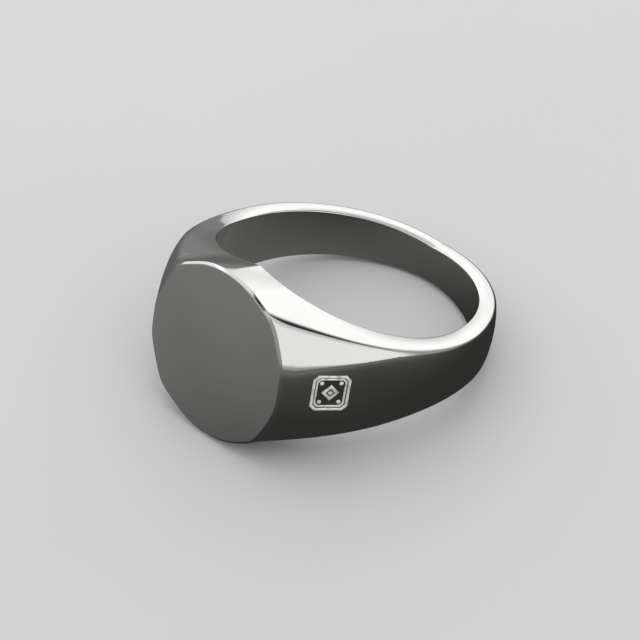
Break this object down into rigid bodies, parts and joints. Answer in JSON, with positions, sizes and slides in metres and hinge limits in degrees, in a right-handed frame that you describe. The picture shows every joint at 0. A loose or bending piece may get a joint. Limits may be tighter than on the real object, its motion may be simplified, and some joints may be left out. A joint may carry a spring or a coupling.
{
  "type": "signet ring",
  "caption": "Silver finger ring with a soft oval satin seal face, polished domed shoulders and a tapered shank; a small framed tile sits on one shoulder.",
  "frame": {"origin": "centre of the finger bore, half way between its two openings at the head", "axes": "+Z along the finger bore, -Y out of the seal face, +X toward the shoulder that carries the tile"},
  "size_m": [0.022, 0.0231, 0.0128],
  "materials": {
    "polished_silver": "mirror-polished sterling silver with fine wear scratches",
    "satin_silver": "fine even satin, for engraving",
    "tile_silver": "bright raised frame, darkened field"
  },
  "bodies": {
    "root": {"shank": "polished_silver", "head": "polished_silver", "seal_plate": "satin_silver", "mark_tile": "tile_silver"}
  },
  "joints": []
}
